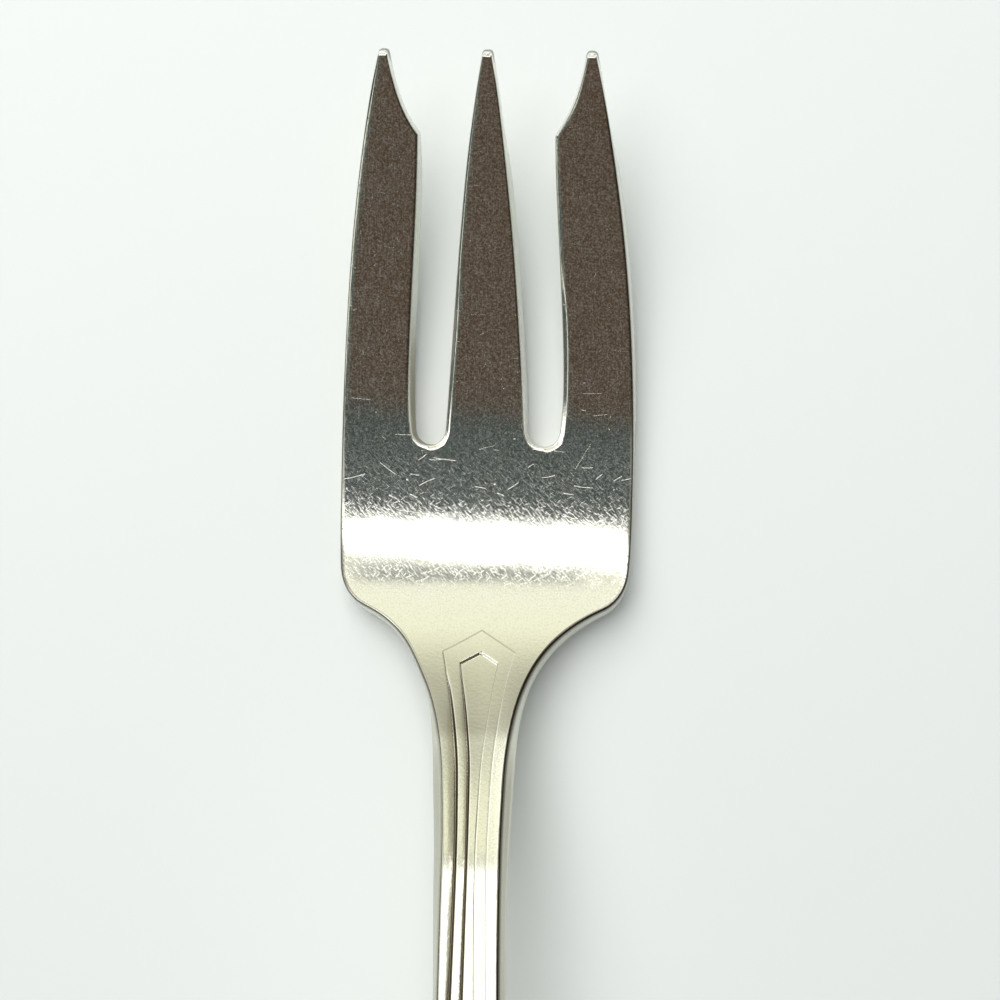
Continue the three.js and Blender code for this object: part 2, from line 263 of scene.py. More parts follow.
ids = np.arange(len(stations))
on = {name: ids[start:start + len(stretches[name])] for name, start in starts.items()}
centre_ids = np.concatenate([on["centre_tip"][-1:], on["centre_flank"]])
inner_ids = np.concatenate([on["inner_flank"], on["outer_tip"][:1]])[::-1]
outer_ids = np.concatenate([on["outer_tip"][-1:], on["outer_flank"]])
palm_ids = np.concatenate([on["outer_flank"][-1:], on["palm_edge"]])
root_ids = np.concatenate([on["centre_flank"][-1:], on["root"], on["inner_flank"][:1]])
reeded_ids = np.concatenate([on["palm_edge"][-1:], on["reeded_edge"]])

outline = np.concatenate([outer_side, centre_side, inner_side, root])
from_edge = KDTree(len(outline))
for i, (x, y) in enumerate(outline):
    from_edge.insert((x, y, 0), i)
from_edge.balance()

# What the press and the plating read at each point: where it lies along the fork, on which edge, on which
# reed or groove, in which part of the relief, how far from an edge, which is wall, and where a dark line of
# painted shade runs along the edge
MARKS = (
    "section", "on_edge", "crown", "near_inner", "near_outer", "in_band", "in_panel", "hollow", "to_edge",
    "wall", "shaded_edge",
)
FACE_MARKS = ("near_inner", "near_outer", "in_band", "shaded_edge")
grids = []


def lay(plan, edges, pull, **marks):
    """Lays a grid of points on the blank, with what the press has to know at each. Edges pair a slice of
    the grid with the stations of the outline that it follows, and the pull says how far each point goes
    with the outer edge where the press draws that in or out."""
    grid = {name: np.zeros(plan.shape[:2]) for name in MARKS}
    grid.update(marks, plan=plan + pull * edge_round, out=pull, level=np.zeros(plan.shape[:2]))
    grid["on_edge"] += 1
    for part, follows in edges:
        grid["plan"][part] = stations[follows]
        grid["out"][part] = out[follows]
        grid["on_edge"][part] = on_edge[follows]
        # The face's edge carries the dark line of painted shade
        grid["shaded_edge"][part] = 1
    points = (plan + 0 * pull).reshape(-1, 2)
    grid["to_edge"] = np.array([from_edge.find((x, y, 0))[2] for x, y in points]).reshape(plan.shape[:2])
    for part, _ in edges:
        grid["to_edge"][part] = 0
    grids.append(grid)
    return grid


tip_fade = np.clip(1 - np.arange(len(rows_at)) / tip_fade_rows, 0, 1)


def rows_between(left, right, tip, shares):
    """Rows from one line to another, which take the shape of a tine's tip at their first end."""
    t = np.array(shares)[None, :, None]
    rows = left[:, None] * (1 - t) + right[:, None] * t
    return rows + tip_fade[:, None, None] * (tip[None] - rows[:1])


# Half of the centre tine, then the outer tine
shares = (even + (1 - np.cos(pi * even)) / 2) / 2
middle_line = np.stack([0 * rows_at, rows_at + tip_fade * (edge_round - corner_place)], axis=1)
every = slice(None)
tine = rows_between(inset[centre_ids], middle_line, inset[on["centre_tip"][::-1]], shares)
lay(tine, [((every, 0), centre_ids), ((0, every), on["centre_tip"][::-1])], 0 * tine, section=tine[..., 1])
tine = rows_between(inset[inner_ids], inset[outer_ids], inset[on["outer_tip"]], shares)
edges = [((every, 0), inner_ids), ((every, -1), outer_ids), ((0, every), on["outer_tip"])]
side_pull = (out * on_edge[:, None])[outer_ids]
lay(tine, edges, side_pull[:, None] * shares[None, :, None] ** 2, section=tine[..., 1])

# The reeded part, from the palm to the end of the handle, and then the root that joins it to the tines
middles = np.array(sections)[:, 0]
rays = np.array([ray for _, ray, _ in met])
reach = np.array([np.hypot(*(point - (0, m))) for (point, _, _), (m, _) in zip(met, sections)])
square = np.array([squareness for _, _, squareness in met])
lines = np.array([reed_lines(*section) for section in zip(middles, reach, square)])
inner_line, outer_line = lines.T[:, :, None]
edge_line = (reach - edge_round / square)[:, None]
to_panel = np.sin(pi / 2 * np.linspace(0, 1, panel_columns + 1))
to_reed = (1 - np.cos(pi * np.linspace(0, 1, reed_columns + 1)[1:])) / 2
graded = np.hstack([
    inner_line * to_panel,
    inner_line + (outer_line - inner_line) * to_reed,
    outer_line + (edge_line - outer_line) * to_reed,
])
plainness = 1 - smooth(middles, palm_end, band_point)[:, None]
distance = graded + plainness * (edge_line * np.linspace(0, 1, half_columns + 1) - graded)
column = np.arange(half_columns + 1)
in_panel = np.clip((panel_columns - column + 1) / 2, 0, 1)
in_band = np.clip((panel_columns + reed_columns - column + 1) / 2, 0, 1)
across_reed = np.where(
    column <= panel_columns,
    distance / inner_line,
    np.where(
        column <= panel_columns + reed_columns,
        2 * (distance - inner_line) / (outer_line - inner_line) - 1,
        2 * (distance - outer_line) / (reach[:, None] - outer_line) - 1,
    ),
)
handle = lay(
    np.stack([0 * middles, middles], axis=1)[:, None] + distance[..., None] * rays[:, None],
    [((every, -1), reeded_ids)],
    (rays / square[:, None])[:, None] * ((distance / edge_line) ** 2)[..., None],
    section=np.repeat(middles[:, None], half_columns + 1, axis=1),
    crown=across_reed**2,
    near_inner=np.clip(1 - abs(distance - inner_line) / groove_half, 0, 1),
    near_outer=np.clip(1 - abs(distance - outer_line) / groove_half, 0, 1),
    in_band=in_band + 0 * distance,
    in_panel=in_panel + 0 * distance,
    hollow=1 - (distance / reach[:, None]) ** 2,
)
bottom = slice(palm_rays, palm_rays + half_columns)
box_pull = np.zeros(box.shape)
box_pull[bottom] = handle["out"][0, :-1]
box_pull[bottom.stop:] = out[palm_ids[::-1]]
box[bottom] = handle["plan"][0, :-1] - box_pull[bottom] * edge_round
box[bottom.stop:] = inset[palm_ids[::-1]]
t = shares[None, :, None]
palm = inset[root_ids][:, None] * (1 - t) + box[:, None] * t
edges = [((every, 0), root_ids), ((slice(bottom.stop, None), -1), palm_ids[::-1])]
lay(palm, edges, box_pull[:, None] * t**2, section=palm[..., 1])

# The same grids again for the back, and the rim that joins face and back round the whole outline
back = []
for grid in grids:
    plain = {name: 0 * grid["level"] for name in FACE_MARKS}
    back.append({**grid, **plain, "level": grid["level"] + levels[-1]})
rim_section = np.concatenate([stations[:reeded, 1], middles[1:]])
rim = {name: np.zeros((len(stations), len(levels))) for name in MARKS}
rim["section"] += rim_section[:, None]
rim["crown"] += (ids >= reeded)[:, None]
rim["on_edge"] += on_edge[:, None]
rim["level"] = levels + 0 * rim["section"]
rim["wall"] = smooth(rim["level"], 1, 1.3) * (1 - smooth(rim["level"], 1.9, 2.6))
# The face's rounding carries the dark line of painted shade along the edge
rim["shaded_edge"] = 1 - smooth(rim["level"], 0.9, 1.2)
rim["plan"] = np.repeat(stations[:, None], len(levels), axis=1)
rim["out"] = np.repeat(out[:, None], len(levels), axis=1)

weld_distance = 0.0002 * mm
blank = bpy.data.meshes.new("blank")
corners, quads, count = [], [], 0
whole = {name: [] for name in MARKS}
outward = []
for grid in [*grids, *back, rim]:
    rows, columns = grid["level"].shape
    for side in (1, -1):
        x, y = side * grid["plan"][..., 0], tip_y - grid["plan"][..., 1]
        corners.append(np.stack([x, y, -grid["level"] * mm], axis=2).reshape(-1, 3))
        outward.append((np.insert(grid["out"], 2, 0, axis=2) * (side, -1, 0)).reshape(-1, 3))
        for name in MARKS:
            whole[name].append(grid[name].ravel())
        ids = count + np.arange(rows * columns).reshape(rows, columns)
        quad_corners = [ids[:-1, :-1], ids[:-1, 1:], ids[1:, 1:], ids[1:, :-1]]
        quads.append(np.stack(quad_corners, axis=2).reshape(-1, 4))
        count += rows * columns
blank.from_pydata(np.concatenate(corners), [], np.concatenate(quads).tolist())
for name in MARKS:
    blank.attributes.new(name, "FLOAT", "POINT").data.foreach_set("value", np.concatenate(whole[name]))
outward_mark = blank.attributes.new("outward", "FLOAT_VECTOR", "POINT")
outward_mark.data.foreach_set("vector", np.concatenate(outward).ravel())
joined = bmesh.new()
joined.from_mesh(blank)
bmesh.ops.remove_doubles(joined, verts=joined.verts, dist=weld_distance)
bmesh.ops.recalc_face_normals(joined, faces=joined.faces)
joined.to_mesh(blank)
joined.free()

# Side line of the face: heights over the sheet at places along it, on a curve of continuous curvature
tip_height = 7.3 * mm
tip_slope = -tan(radians(24))
crest_place, crest_height = 54 * mm, 8.8 * mm
ground_depth = 0.03 * mm
tip_thickness, palm_thickness, neck_thickness = 0.9 * mm, 1.65 * mm, 2.5 * mm
handle_thickness, end_thickness = 2 * mm, 1.8 * mm
palm_knot = (palm_place, palm_thickness - ground_depth)
end_knot = (face_length, end_thickness - ground_depth)


def strung(start, end, shares):
    """Knots strung between two ends, from the shares of their run and rise."""
    return [tuple(a + (b - a) * share for a, b, share in zip(start, end, pair)) for pair in shares]


crest_knot = (crest_place, crest_height)
knots = np.array([
    (0, tip_height),
    *strung((0, tip_height), palm_knot, [(0.46, 0.7)]),
    palm_knot,
    *strung(palm_knot, crest_knot, [(0.25, 0.127), (0.48, 0.463), (0.73, 0.842)]),
    crest_knot,
    *strung(crest_knot, end_knot, [(0.2, 0.12), (0.565, 0.655)]),
    end_knot,
])
gaps, rises = np.diff(knots, axis=0).T
slopes = np.zeros(len(knots))
slopes[0] = tip_slope
settling_rounds = 80
for _ in range(settling_rounds):
    for i in range(1, len(knots) - 1):
        a, b = 1 / gaps[i - 1], 1 / gaps[i]
        pull = 3 * (rises[i - 1] * a * a + rises[i] * b * b)
        slopes[i] = (pull - slopes[i - 1] * a - slopes[i + 1] * b) / (2 * (a + b))

# The die: a strip with the side line's shape. The blank comes down on it and each point keeps its depth
# square to it.
die_half, die_overrun, die_row_count = 20 * mm, 2 * mm, 3000
die_rows = np.linspace(-die_overrun, face_length + die_overrun, die_row_count)
i = np.clip(np.searchsorted(knots[:, 0], die_rows) - 1, 0, len(gaps) - 1)
inside = np.clip(die_rows, 0, face_length)
t = (inside - knots[i, 0]) / gaps[i]
bow = slopes[i] * gaps[i] - rises[i]
counter = rises[i] - slopes[i + 1] * gaps[i]
pull = (1 - t) * bow + t * counter
slope = (rises[i] + (1 - 2 * t) * pull + t * (1 - t) * (counter - bow)) / gaps[i]
height = knots[i, 1] + t * rises[i] + t * (1 - t) * pull + slope * (die_rows - inside)
die_mesh = bpy.data.meshes.new("die")
strip = [(side * die_half, tip_y - place, z) for place, z in zip(die_rows, height) for side in (-1, 1)]
pairs = range(0, len(strip) - 2, 2)
die_mesh.from_pydata(strip, [], [(k, k + 1, k + 3, k + 2) for k in pairs])
square_out = np.stack([0 * slope, slope, 1 + 0 * slope], axis=1) / np.hypot(1, slope)[:, None]
square_mark = die_mesh.attributes.new("square_out", "FLOAT_VECTOR", "POINT")
square_mark.data.foreach_set("vector", np.repeat(square_out, 2, axis=0).ravel())


def placed(name, data):
    """A new object in the scene, at the origin."""
    thing = bpy.data.objects.new(name, data)
    bpy.context.scene.collection.objects.link(thing)
    return thing


die = placed("die", die_mesh)


class Reading:
    """A value inside a node tree, which adds and multiplies like a plain number."""

    def __init__(self, tree, socket):
        self.tree, self.socket = tree, socket

    def through(self, node, *values):
        for socket, value in zip(node.inputs, (self, *values)):
            if isinstance(value, Reading):
                self.tree.links.new(value.socket, socket)
            else:
                socket.default_value = value
        return Reading(self.tree, node.outputs[0])

    def math(self, operation, *values):
        node = self.tree.nodes.new("ShaderNodeMath")
        node.operation = operation
        return self.through(node, *values)

    def vector(self, operation, *values):
        node = self.tree.nodes.new("ShaderNodeVectorMath")
        node.operation = operation
        return self.through(node, *values)

    def eased(self, start, end, low=0, high=1):
        """Runs smoothly from low to high as this value runs from start to end."""
        node = self.tree.nodes.new("ShaderNodeMapRange")
        node.interpolation_type = "SMOOTHSTEP"
        return self.through(node, start, end, low, high)

    def __add__(self, other):
        return self.math("ADD", other)

    def __sub__(self, other):
        return self.math("SUBTRACT", other)

    def __mul__(self, other):
        return self.math("MULTIPLY", other)

    def __truediv__(self, other):
        return self.math("DIVIDE", other)

    def __pow__(self, other):
        return self.math("POWER", other)

    def __neg__(self):
        return self * -1

    __radd__, __rmul__ = __add__, __mul__

    def __rsub__(self, other):
        return -self + other


press = bpy.data.node_groups.new("press", "GeometryNodeTree")
press.interface.new_socket("Blank", in_out="INPUT", socket_type="NodeSocketGeometry")
press.interface.new_socket("Die", in_out="INPUT", socket_type="NodeSocketObject")
press.interface.new_socket("Metal", in_out="INPUT", socket_type="NodeSocketMaterial")
press.interface.new_socket("Fork", in_out="OUTPUT", socket_type="NodeSocketGeometry")
press_sizes = {
    "Tip thickness": tip_thickness,
    "Palm thickness": palm_thickness,
    "Neck thickness": neck_thickness,
    "Handle thickness": handle_thickness,
    "End thickness": end_thickness,
    "Head edge round": edge_round,
    "Stem edge round": 0.22 * mm,
    "Palm tuck": 0.28 * mm,
    "Neck tuck": 1 * mm,
    "Handle tuck": 0.7 * mm,
    "Stem widest depth": 0.6 * mm,
    "Palm draft": 0.01 * mm,
    "Neck draft": 0.45 * mm,
    "Crest draft": 0.28 * mm,
    "Handle draft": 0.2 * mm,
    "Slot draft": 0.05 * mm,
    "Tine lean": 0.18 * mm,
    "Stem lean": 0.12 * mm,
    "Slot shift": 0.16 * mm,
    "Stem shift": 0.12 * mm,
    "Slot bevel": 0.055 * mm,
    "Band step": 0.012 * mm,
    "Panel step": 0.085 * mm,
    "Reed crown": 0.04 * mm,
    "Groove depth": 0.12 * mm,
    "Neck hollow": 0.15 * mm,
    "Edge ease": 0.015 * mm,
    "Tip bevel": 0.25 * mm,
    "Tip stretch": 0.12 * mm,
    "Tine crown": 0.024 * mm,
}
for name, size in press_sizes.items():
    socket = press.interface.new_socket(name, in_out="INPUT", socket_type="NodeSocketFloat")
    socket.subtype = "DISTANCE"
    socket.default_value = size
given = press.nodes.new("NodeGroupInput")
size = {name: Reading(press, given.outputs[name]) for name in press_sizes}


def apart(vector):
    node = vector.tree.nodes.new("ShaderNodeSeparateXYZ")
    vector.through(node)
    return [Reading(vector.tree, socket) for socket in node.outputs]


def joined_up(x, y, z=0):
    node = x.tree.nodes.new("ShaderNodeCombineXYZ")
    x.through(node, y, z)
    return Reading(x.tree, node.outputs[0])


def mark(name, kind="FLOAT"):
    node = press.nodes.new("GeometryNodeInputNamedAttribute")
    node.data_type = kind
    node.inputs["Name"].default_value = name
    return Reading(press, node.outputs["Attribute"])


def stepped(value, first, *knots):
    """A size that changes smoothly from knot to knot, each given as its start, its end and its size."""
    result = first
    for start, end, next_size in knots:
        share = value.eased(start, end)
        result = result + share * (next_size - result)
    return result


# Where each point lies round the edge: over the face's rounding, down the wall, round the back's edge
flat = Reading(press, press.nodes.new("GeometryNodeInputPosition").outputs[0])
across, flat_y, flat_z = apart(flat)
place = tip_y - flat_y
level = flat_z / -mm


def clipped(start):
    node = press.nodes.new("ShaderNodeMapRange")
    return level.through(node, start, start + 1, 0, 1)


over, down, under = (clipped(start) for start in (0, 1, 2))
handle_middle = (crest_place + handle_widest_place) / 2
thickness = stepped(
    place,
    size["Tip thickness"],
    (0, palm_place, size["Palm thickness"]),
    (palm_place, neck_place, size["Neck thickness"]),
    (neck_place, handle_middle, size["Handle thickness"]),
    (handle_middle, face_length, size["End thickness"]),
)
section = mark("section")
side_draft = stepped(
    section,
    size["Palm draft"],
    (head_length, neck_flare_place, size["Neck draft"]),
    (neck_flare_place, crest_place, size["Crest draft"]),
    (crest_place, handle_middle, size["Handle draft"]),
)
side_tuck = stepped(
    section,
    size["Palm tuck"],
    (head_length, neck_flare_place, size["Neck tuck"]),
    (crest_place, handle_middle, size["Handle tuck"]),
)
outer = mark("on_edge")
draft = size["Slot draft"] + outer * (side_draft - size["Slot draft"])
round_rise = section.eased(palm_place, head_length)
face_round = size["Head edge round"] + round_rise * (size["Stem edge round"] - size["Head edge round"])
tuck = face_round + outer * (side_tuck - face_round)
flat_foot = thickness - tuck
widest = flat_foot + section.eased(head_length, neck_flare_place) * (size["Stem widest depth"] - flat_foot)
quarter = pi / 2
inward = face_round * (1 - (over * quarter).math("SINE")) + tuck * (1 - (under * quarter).math("COSINE"))
edge_depth = (
    face_round * (1 - (over * quarter).math("COSINE"))
    + (widest - face_round) * down
    + (thickness - widest) * (under * quarter).math("SINE")
)
lean = down * (
    size["Tine lean"] * section.eased(3.5 * mm, 7 * mm) * section.eased(19 * mm, 26 * mm, 1, 0)
    + size["Stem lean"] * section.eased(48 * mm, 60 * mm)
)

# Small liberties of the hand-finished original: its slots lie a little left, its neck flares a little more
# on the left, its stem bends a little to the right, its tips are drawn out a little, and its tines are
# bevelled along their left sides
left_flare_share = 0.17
inner_share = (1 - (across / half_head) ** 4).math("MAXIMUM", 0)
flaring = place.eased(33 * mm, 37 * mm) * place.eased(38 * mm, 47 * mm, 1, 0)
left_flare = across.math("MINIMUM", 0) * left_flare_share * flaring
aside = (
    left_flare
    + size["Stem shift"] * place.eased(42 * mm, 60 * mm)
    - size["Slot shift"] * inner_share * place.eased(-4 * mm, 7 * mm) * place.eased(22 * mm, 30 * mm, 1, 0)
)
stretch = size["Tip stretch"] * place.eased(0, 8 * mm, 1, 0)
centre_left = across.eased(-3.6 * mm, -3.4 * mm) * across.eased(-0.4 * mm, -0.2 * mm, 1, 0)
right_left = across.eased(3.6 * mm, 3.8 * mm) * across.eased(6 * mm, 6.2 * mm, 1, 0)
slot_reach = place.eased(11 * mm, 16 * mm) * place.eased(22.5 * mm, 23.5 * mm, 1, 0)
bevelled = (centre_left + right_left) * slot_reach


def near_edge(run):
    """One at the edge of the face, and none further in than this run."""
    return (1 - mark("to_edge") / run).math("MAXIMUM", 0) ** 2


# What the dies coin into the face, the ease that the buffing wheel leaves along the head's edges, and the
# crown that it leaves on the tines, least on the far left
ease_run, crown_run = 0.4 * mm, 0.9 * mm
tip_bevel_run = 0.28 * mm
ease = near_edge(ease_run) * (size["Edge ease"] + bevelled * size["Slot bevel"])
on_tine = section.eased(1 * mm, 3 * mm) * section.eased(15 * mm, 21 * mm, 1, 0)
tine_crown = near_edge(crown_run) * size["Tine crown"] * on_tine * across.eased(-7 * mm, -4.5 * mm, 0.3, 1)
panel_rise_place, panel_rise_run = 39 * mm, 7 * mm
reeding = section.eased(band_point, band_point + reed_run)
risen = section.eased(panel_rise_place, panel_rise_place + panel_rise_run)
sunk = section.eased(panel_point, panel_point + panel_run)
band = section.eased(band_point, band_point + band_run) * size["Band step"]
panel = size["Panel step"] * sunk * (1 - risen)
worn = across.eased(-0.5 * mm, 0.3 * mm, 1, 0.12)
groove = size["Groove depth"] * worn * section.eased(handle_middle, handle_widest_place, 1, 0.6)
relief = (
    mark("in_band") * band
    + mark("in_panel") * panel
    + mark("crown") * size["Reed crown"] * worn * reeding * (1 - mark("in_panel") * (1 - risen))
    + mark("near_outer") ** 2 * groove * reeding
    + mark("near_inner") ** 2 * groove * (1 - (1 - risen) * 0.5) * sunk * reeding
    + mark("hollow") * size["Neck hollow"] * reeding * section.eased(neck_place, handle_middle, 1, 0.4)
    + ease * section.eased(palm_place, head_length, 1, 0)
    + tine_crown
    + size["Tip bevel"] * section.eased(-tip_bevel_run, tip_bevel_run, 2, 0).math("MINIMUM", 1) ** 2
)
depth = edge_depth + relief * (1 - down)

# Down onto the die
moved = mark("outward", "FLOAT_VECTOR").vector("SCALE")
shift = moved.socket.node
press.links.new((draft * down - inward).socket, shift.inputs["Scale"])
spot = flat.vector("ADD", moved).vector("ADD", joined_up(lean + aside, stretch))
ray = press.nodes.new("GeometryNodeRaycast")
ray.data_type = "FLOAT_VECTOR"
ray.mapping = "INTERPOLATED"
die_shape = press.nodes.new("GeometryNodeObjectInfo")
die_shape.transform_space = "RELATIVE"
press.links.new(given.outputs["Die"], die_shape.inputs["Object"])
press.links.new(die_shape.outputs["Geometry"], ray.inputs["Target Geometry"])
press.links.new(mark("square_out", "FLOAT_VECTOR").socket, ray.inputs["Attribute"])
press.links.new(spot.vector("ADD", (0, 0, 1)).socket, ray.inputs["Source Position"])
ray.inputs["Ray Direction"].default_value = (0, 0, -1)
ray.inputs["Ray Length"].default_value = 2
drop = Reading(press, ray.outputs["Attribute"]).vector("SCALE")
press.links.new(depth.socket, drop.socket.node.inputs["Scale"])
formed = Reading(press, ray.outputs["Hit Position"]).vector("SUBTRACT", drop).vector("MAXIMUM", (-1, -1, 0))
place_points = press.nodes.new("GeometryNodeSetPosition")
press.links.new(given.outputs["Blank"], place_points.inputs["Geometry"])
press.links.new(formed.socket, place_points.inputs["Position"])
real = press.nodes.new("GeometryNodeRealizeInstances")
metal = press.nodes.new("GeometryNodeSetMaterial")
result = press.nodes.new("NodeGroupOutput")
press.links.new(place_points.outputs["Geometry"], real.inputs["Geometry"])
press.links.new(real.outputs["Geometry"], metal.inputs["Geometry"])
press.links.new(given.outputs["Metal"], metal.inputs["Material"])
press.links.new(metal.outputs["Geometry"], result.inputs["Fork"])

# The plating: polished silver over the head and satin silver over the relief, with what years in a drawer
# leave on it, and with painted shade on its walls and edges. Every pattern is laid on the fork's own
# coordinates, in millimetres.
plating = bpy.data.materials.new("silver_plate")
plating.use_nodes = True
coat = plating.node_tree
shader = coat.nodes["Principled BSDF"]
own_place = Reading(coat, coat.nodes.new("ShaderNodeTexCoord").outputs["Object"])
spot_mm = own_place.vector("MULTIPLY", (1000, 1000, 1000))
x_mm, y_mm, _ = apart(spot_mm)
place_mm = tip_y / mm - y_mm


def painted(tree, under, over, share):
    """One colour laid over another by a share."""
    node = tree.nodes.new("ShaderNodeMix")
    node.data_type = "RGBA"
    for index, value in ((0, share), (6, under), (7, over)):
        if isinstance(value, Reading):
            tree.links.new(value.socket, node.inputs[index])
        else:
            node.inputs[index].default_value = value
    return Reading(tree, node.outputs[2])


def coat_mark(name):
    node = coat.nodes.new("ShaderNodeAttribute")
    node.attribute_name = name
    return Reading(coat, node.outputs["Fac"])


def cloudy(vector, scale, detail=2, roughness=0.5):
    """Soft noise, from 0 to 1, with blotches about one over the scale across."""
    node = coat.nodes.new("ShaderNodeTexNoise")
    coat.links.new(vector.socket, node.inputs["Vector"])
    node.inputs["Scale"].default_value = scale
    node.inputs["Detail"].default_value = detail
    node.inputs["Roughness"].default_value = roughness
    return Reading(coat, node.outputs[0])


def turned_to(degrees, shift=0):
    """The face's coordinates along and across a direction, from the x axis towards the tips."""
    angle = radians(degrees)
    along = x_mm * cos(angle) + y_mm * sin(angle) + shift
    return along, y_mm * cos(angle) - x_mm * sin(angle) + shift


def hairlines(degrees, length, width, low, high, shift):
    """Fine straight scratches from rubbing one way: noise drawn out along its direction."""
    along, across = turned_to(degrees, shift)
    return cloudy(joined_up(along / length, across / width), 1, 1).eased(low, high)


def scratches(cell, length, width, degrees, spread, bend, share, shift):
    """Single scratches, at most one in each cell, each with its own direction, length and curve."""
    along, across = turned_to(degrees, shift)
    node = coat.nodes.new("ShaderNodeTexVoronoi")
    node.voronoi_dimensions = "2D"
    coat.links.new(joined_up(along / cell, across / cell).socket, node.inputs["Vector"])
    node.inputs["Scale"].default_value = 1
    chance = apart(Reading(coat, node.outputs["Color"]))
    centre = apart(Reading(coat, node.outputs["Position"]))
    dx, dy = along - centre[0] * cell, across - centre[1] * cell
    angle = (chance[0] - 0.5) * radians(2 * spread)
    cosine, sine = angle.math("COSINE"), angle.math("SINE")
    forward = dx * cosine + dy * sine
    sideways = dy * cosine - dx * sine + forward * forward * ((chance[1] - 0.5) * (2 * bend))
    reach = (chance[2] * 0.6 + 0.4) * (length / 2)
    ends = 1 - (forward.math("ABSOLUTE") / reach).eased(0.7, 1)
    middle = 1 - (sideways.math("ABSOLUTE") / (width / 2)).eased(0.3, 1)
    return ends * middle * (chance[1] + chance[2]).math("FRACT").math("LESS_THAN", share)


on_head = 1 - place_mm.eased(30, 33.5)
on_tines = 1 - place_mm.eased(21, 25)
in_relief = place_mm.eased(31, 36)

# Rubbed strokes, single cuts and pits
rubbed = (
    scratches(0.34, 0.5, 0.055, -40, 14, 0, 0.8, 71) + scratches(0.3, 0.4, 0.05, -50, 16, 0, 0.7, 83)
    + scratches(0.4, 0.45, 0.05, 38, 20, 0, 0.6, 97) + hairlines(-42, 0.5, 0.04, 0.5, 0.7, 3) * 0.4
)
drawn = hairlines(90, 1.6, 0.06, 0.56, 0.72, 5) + hairlines(86, 0.9, 0.05, 0.6, 0.74, 17)
palm_cuts = scratches(1.3, 0.9, 0.05, 12, 40, 0.3, 0.3, 0) + scratches(2.1, 1.9, 0.05, 8, 40, 0.15, 0.3, 7)
tine_cuts = (
    scratches(2.3, 1.5, 0.05, 3, 16, 0.12, 0.35, 31) * 0.8 + scratches(1.1, 0.4, 0.06, 0, 80, 0.8, 0.2, 43)
)
long_cuts = scratches(4.5, 3.6, 0.045, 20, 80, 0.05, 0.3, 53)
pits = scratches(0.9, 0.14, 0.12, 0, 90, 0, 0.1, 61)

wavy = cloudy(spot_mm, 0.35, 1)
mottled = cloudy(spot_mm, 6, 3)
palm_share = on_head * (1 - on_tines * 0.75)
fine = rubbed * palm_share * place_mm.eased(25, 28, 0.5, 1.6) + drawn * on_tines * 0.8
deep = palm_cuts * palm_share + tine_cuts * on_tines + long_cuts * 0.7 * on_head + pits
speckle = cloudy(spot_mm, 9, 3, 0.6).eased(0.46, 0.64)
haze = on_head * (1 - on_tines * 0.3) * (
    mottled.eased(0.42, 0.75) * 0.3 + speckle * 0.7 + drawn * on_tines * 0.25 + rubbed * palm_share * 0.7
)

# Colour: silver, duller over the relief, with dirt and painted shade in the grooves, and painted shade on
# the walls, round the edges, along the band's step and inside the left slot
# Dirt and painted shade in the grooves: dark brown, far stronger on the left side of the fork, where it
# stands for the grooves' shade
groove_dirt_and_shade = coat_mark("near_inner").math("MAXIMUM", coat_mark("near_outer"))
groove_dirt_and_shade = groove_dirt_and_shade * place_mm.eased(35, 41) * x_mm.eased(-0.5, 0.3, 1, 0.08)
clouded = in_relief * 0.7 + cloudy(spot_mm, 0.5, 3).eased(0.45, 0.7) * 0.25 * on_head
panel_tone = place_mm.eased(33.5, 37.5) * (1 - place_mm.eased(39.6, 40.6))
section_mm = coat_mark("section") * 1000
# Painted shade: a thin dark line along the pointed band's step
chevron_shade = coat_mark("in_band") * section_mm.eased(33.88, 33.95) * section_mm.eased(33.99, 34.06, 1, 0)
wall, outside = coat_mark("wall"), coat_mark("on_edge")
# Painted shade: olive on the walls inside the left slot, mostly on its right-facing wall
slot_wall_shade = wall * (1 - outside) * x_mm.eased(-3, -2, 1, 0) * place_mm.eased(13, 19)
# Painted shade: a dark line along the face's edges, strong round the head and on the stem's right side, weak
# on the left tine's outer edge, and along the right-facing edges inside the slots
slot_right = x_mm.eased(-4.2, -4, 1, 0) + x_mm.eased(-0.1, 0.1) * x_mm.eased(3.4, 3.6, 1, 0)
slot_edge_shade = (1 - outside) * slot_right * place_mm.eased(0.4, 1.5, 0, 0.75) * place_mm.eased(17, 21, 1, 0)
less_shaded_side = x_mm.eased(-5.5, -5, 1, 0) * place_mm.eased(1.5, 5) * place_mm.eased(16, 22, 1, 0)
head_edge_shade, stem_edge_shade = 0.9 - less_shaded_side * 0.75, x_mm.eased(-1, 1, 0.5, 0.92)
edge_shade = outside * (on_head * head_edge_shade + (1 - on_head) * stem_edge_shade) + slot_edge_shade
silver = (0.92, 0.92, 0.88, 1)
for colour, share in (
    ((0.87, 0.87, 0.72), clouded),
    ((0.56, 0.55, 0.47), panel_tone * 0.8),
    ((0.62, 0.61, 0.5), speckle * 0.3),
    # painted shade along the band's step
    ((0.3, 0.29, 0.22), chevron_shade * 0.55),
    # dirt and painted shade in the grooves
    ((0.2, 0.145, 0.095), groove_dirt_and_shade.eased(0.1, 0.5) * 0.9),
    # painted shade: the walls darker, and darker still round the tips
    ((0.77, 0.78, 0.71), wall * 0.8),
    ((0.25, 0.25, 0.23), wall * place_mm.eased(-0.1, 0.4, 0.8, 0)),
    # painted shade inside the left slot
    ((0.26, 0.23, 0.13), slot_wall_shade * 0.85),
    # painted shade: the dark line along the edges
    ((0.12, 0.11, 0.09), coat_mark("shaded_edge") * edge_shade),
):
    silver = painted(coat, silver, (*colour, 1), share)
coat.links.new(silver.socket, shader.inputs["Base Color"])
coat.links.new((1 - haze * 0.19).socket, shader.inputs["Metallic"])
